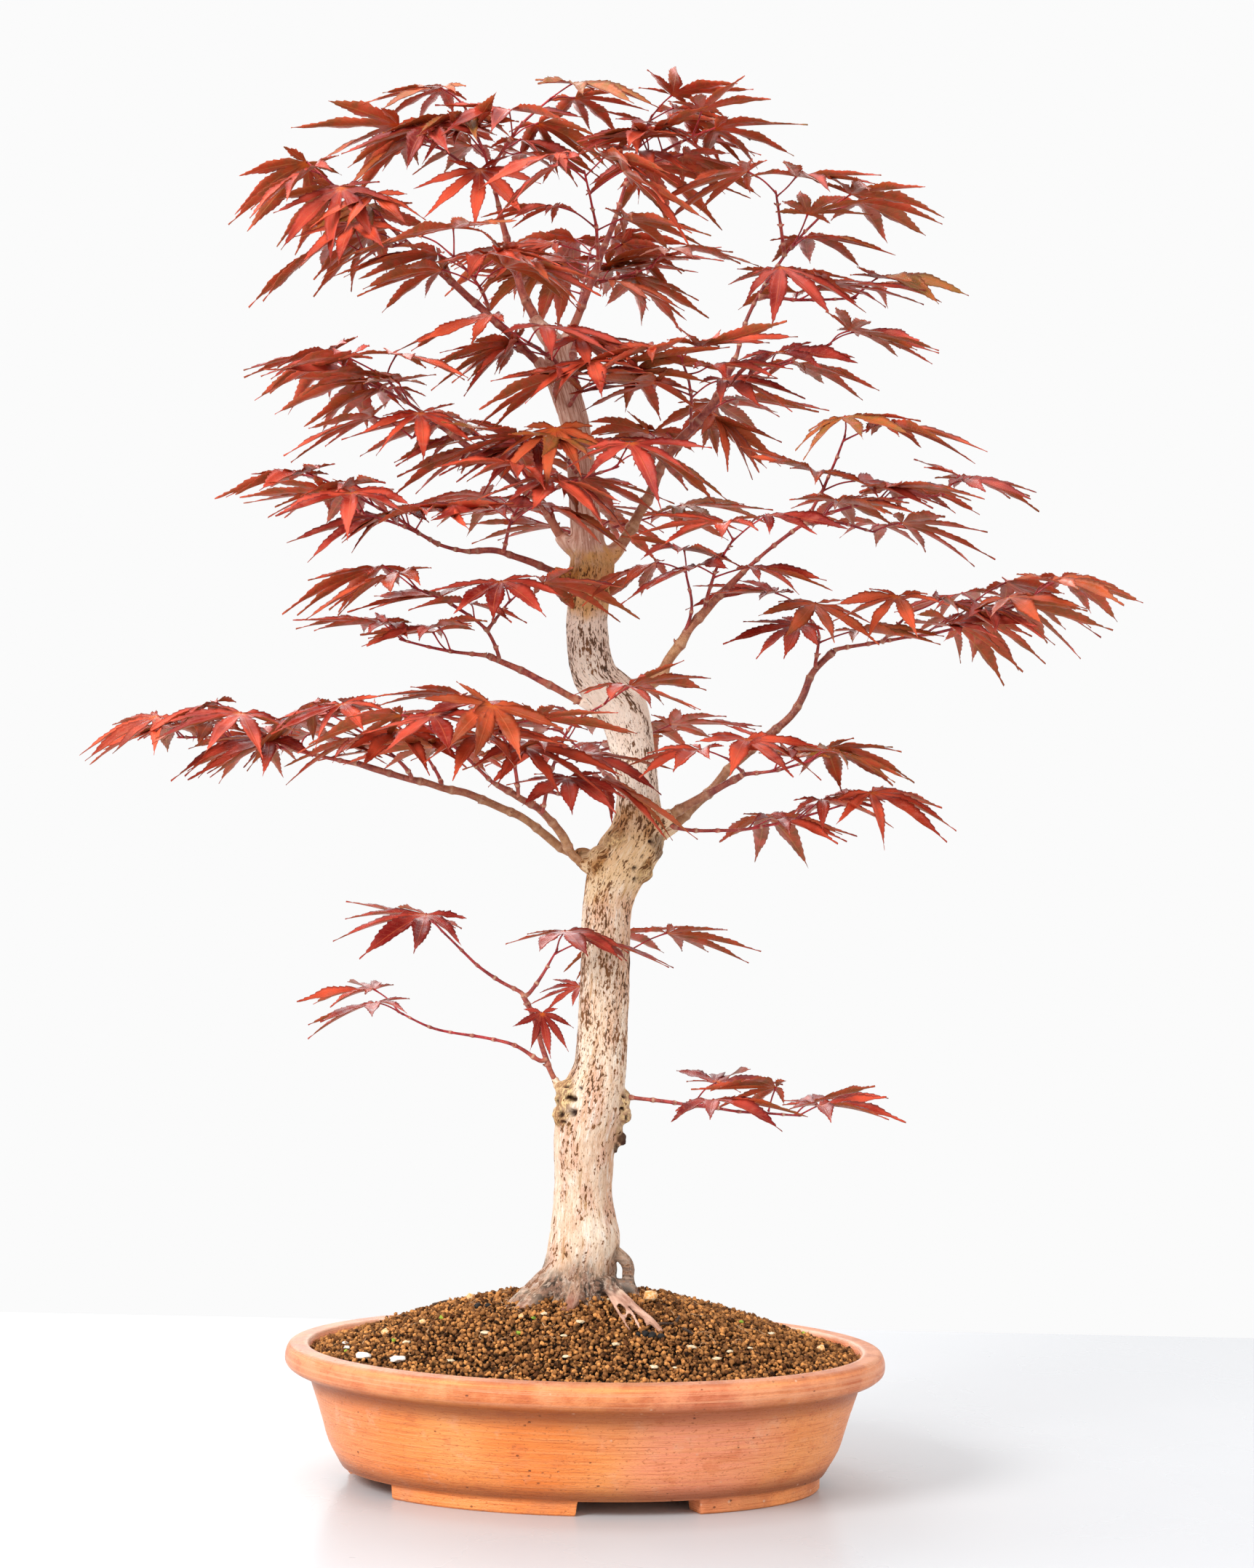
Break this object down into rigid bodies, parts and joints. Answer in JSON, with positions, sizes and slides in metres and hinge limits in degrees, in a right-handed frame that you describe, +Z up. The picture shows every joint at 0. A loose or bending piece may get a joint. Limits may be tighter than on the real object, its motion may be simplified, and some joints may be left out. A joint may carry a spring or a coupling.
{
  "type": "bonsai tree in a pot",
  "caption": "Bonsai maple in an oval clay pot on low feet: a tapering trunk rises from a mound of coarse soil, with limbs in layers of small red-bronze leaves.",
  "frame": {"origin": "on the table, under the middle of the whole object's box", "axes": "+Z up the trunk, +X to the right along the pot's long side, -Y towards the tree's front"},
  "size_m": [0.6254, 0.3378, 0.8335],
  "materials": {
    "clay": "unglazed terracotta, fine throwing lines, paler rim",
    "soil": "coarse fired-clay grains with pumice and shell bits",
    "trunk_bark": "pale corky bark with upright dark cracks",
    "limb_bark": "smooth red-brown bark with pale dots and node rings",
    "leaf": "satin red-bronze leaves with orange veins, crimson stalks",
    "screen_plastic": "matte dark plastic mesh",
    "clip_wire": "plain aluminium wire"
  },
  "bodies": {
    "root": {"pot": "clay", "drain_screen_left": "screen_plastic", "screen_clip_left": "clip_wire", "drain_screen_right": "screen_plastic", "screen_clip_right": "clip_wire", "trunk": "trunk_bark", "soil": "soil", "limb_low_left": "limb_bark", "limb_left_pad_inner": "limb_bark", "limb_left_pad_long": "limb_bark", "limb_right_pad": "limb_bark", "limb_right_arc": "limb_bark", "limb_left_mid": "limb_bark", "limb_right_mid": "limb_bark", "limb_left_upper_mid": "limb_bark", "limb_left_upper": "limb_bark", "limb_right_upper": "limb_bark", "limb_back_low": "limb_bark", "limb_back_mid": "limb_bark", "limb_leader": "limb_bark", "limb_crown_left": "limb_bark", "limb_crown_right": "limb_bark", "limb_back_upper": "limb_bark", "spray_low_left_tip": "leaf", "spray_low_left_fork": "leaf", "spray_low_left_lower": "leaf", "spray_low_right": "leaf", "spray_low_back": "leaf", "spray_left_pad_tip": "leaf", "spray_left_pad_middle": "leaf", "spray_left_pad_back": "leaf", "spray_left_pad_front": "leaf", "spray_left_pad_inner_top": "leaf", "spray_left_pad_cross": "leaf", "spray_right_pad_top": "leaf", "spray_right_pad_low": "leaf", "spray_right_arc_tip": "leaf", "spray_right_arc_side": "leaf", "spray_right_mid_tip": "leaf", "spray_right_mid_front": "leaf", "spray_right_mid_up": "leaf", "spray_left_mid_tip": "leaf", "spray_left_mid_up": "leaf", "spray_left_upper_mid_tip": "leaf", "spray_left_upper_mid_front": "leaf", "spray_left_upper_tip": "leaf", "spray_left_upper_back": "leaf", "spray_right_upper_tip": "leaf", "spray_right_upper_side": "leaf", "spray_right_upper_front": "leaf", "spray_right_upper_back": "leaf", "spray_leader_tip": "leaf", "spray_crown_left_tip": "leaf", "spray_crown_left_front": "leaf", "spray_crown_right_tip": "leaf", "spray_crown_right_front": "leaf", "spray_back_upper_tip": "leaf", "spray_back_mid_tip": "leaf", "spray_back_low_tip": "leaf"}
  },
  "joints": []
}
